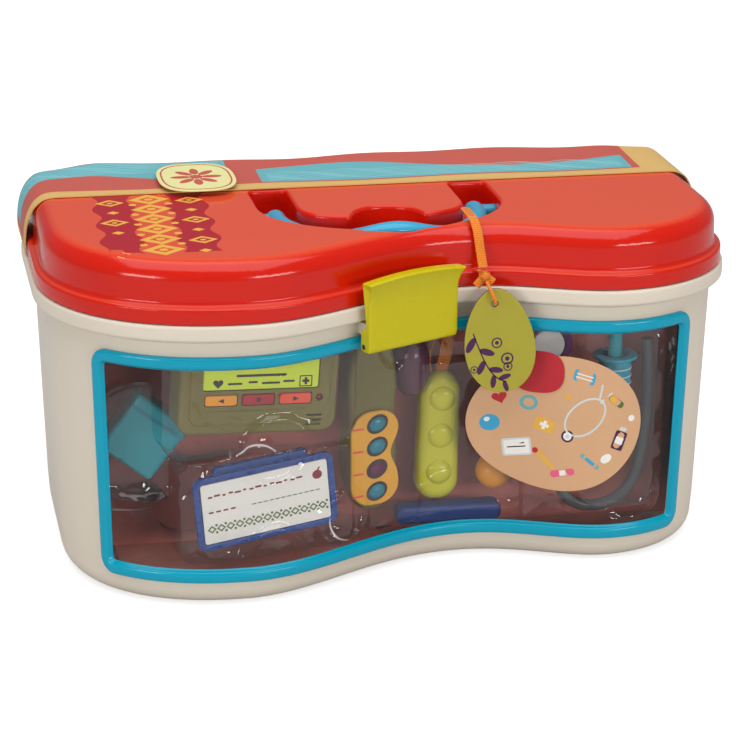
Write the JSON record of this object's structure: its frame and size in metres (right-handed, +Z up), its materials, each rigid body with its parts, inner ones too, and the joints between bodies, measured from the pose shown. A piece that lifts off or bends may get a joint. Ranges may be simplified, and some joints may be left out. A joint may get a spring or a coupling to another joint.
{
  "type": "toy doctor case",
  "caption": "Moulded toy doctor case: wavy front window, hinged lid with folding handle, swinging latch, card sleeve and packed toy instruments.",
  "frame": {"origin": "middle of the base, on the surface that the case stands on", "axes": "+X along the width to the viewer's right, front faces -Y, +Z up"},
  "size_m": [0.3392, 0.1998, 0.1719],
  "materials": {
    "ivory": "satin moulded",
    "red": "glossy moulded",
    "cyan": "glossy moulded",
    "blue": "glossy moulded",
    "latch": "satin moulded",
    "steel": "plain wire",
    "clear": "clear sheet",
    "maroon": "printed card",
    "kraft": "printed card",
    "sticker": "printed paper",
    "flag": "printed paper",
    "tag": "printed card",
    "plum": "satin moulded",
    "olive": "satin moulded",
    "screen": "glossy",
    "amber": "satin moulded",
    "crimson": "satin moulded",
    "coral": "satin moulded",
    "ruby": "glossy",
    "navy": "satin moulded",
    "card": "matt card",
    "white": "satin moulded",
    "gold": "glossy moulded",
    "teal": "glossy moulded",
    "lime": "glossy moulded",
    "orange": "woven ribbon",
    "smoke": "soft tube",
    "aqua": "tinted clear"
  },
  "bodies": {
    "tub": {"tub_shell": "ivory", "window_frame": "cyan", "window_pane": "clear", "latch_pin": "steel", "hinge_pin_left": "steel", "hinge_pin_right": "steel", "backing_card": "maroon", "blister_tray": "clear", "window_sticker": "sticker", "sticker_flag": "flag", "pager_case": "olive", "pager_screen": "screen", "pager_light": "ruby", "badge_frame": "navy", "badge_card": "card", "badge_clip": "navy", "handset_body": "olive", "handset_plate": "gold", "handset_gem_1": "teal", "handset_gem_2": "teal", "handset_gem_3": "plum", "handset_gem_4": "teal", "thermometer_stick": "lime", "stick_lace": "orange", "teal_block": "teal", "hammer_head": "amber", "navy_pouch": "navy", "stethoscope_ring": "plum", "stethoscope_disc": "white", "stethoscope_tube": "smoke", "syringe_barrel": "aqua"},
    "lid": {"lid_shell": "red", "sleeve_band": "kraft", "sleeve_tab": "kraft"},
    "handle": {"handle_bail": "blue", "ribbon": "orange", "ribbon_strand": "orange", "ribbon_knot": "orange", "tag_front": "tag", "tag_back": "plum"},
    "latch": {"latch_plate": "latch"},
    "button_1": {"pager_button_1": "amber"},
    "button_2": {"pager_button_2": "crimson"},
    "button_3": {"pager_button_3": "coral"},
    "plunger": {"syringe_plunger": "teal"}
  },
  "joints": [
    {"name": "lid_hinge", "type": "hinge", "parent": "tub", "child": "lid", "pos_m": [0, 0.1007, 0.14], "axis": [-1, 0, 0], "range_deg": [0, 105]},
    {"name": "handle_fold", "type": "hinge", "parent": "lid", "child": "handle", "pos_m": [0, 0.006, 0.159], "axis": [-1, 0, 0], "range_deg": [0, 95]},
    {"name": "latch_swing", "type": "hinge", "parent": "tub", "child": "latch", "pos_m": [0.0007, -0.06755, 0.1208], "axis": [0.9063, 0.4226, 0], "range_deg": [0, 110]},
    {"name": "button_1_press", "type": "slide", "parent": "tub", "child": "button_1", "axis": [-0.1392, 0.9903, 0], "range_m": [0, 0.0012], "stiffness_N_per_m": 300, "springref_m": -0.0006},
    {"name": "button_2_press", "type": "slide", "parent": "tub", "child": "button_2", "axis": [-0.1392, 0.9903, 0], "range_m": [0, 0.0012], "stiffness_N_per_m": 300, "springref_m": -0.0006},
    {"name": "button_3_press", "type": "slide", "parent": "tub", "child": "button_3", "axis": [-0.1392, 0.9903, 0], "range_m": [0, 0.0012], "stiffness_N_per_m": 300, "springref_m": -0.0006},
    {"name": "plunger_slide", "type": "slide", "parent": "tub", "child": "plunger", "axis": [0, 0, -1], "range_m": [0, 0.012]}
  ]
}
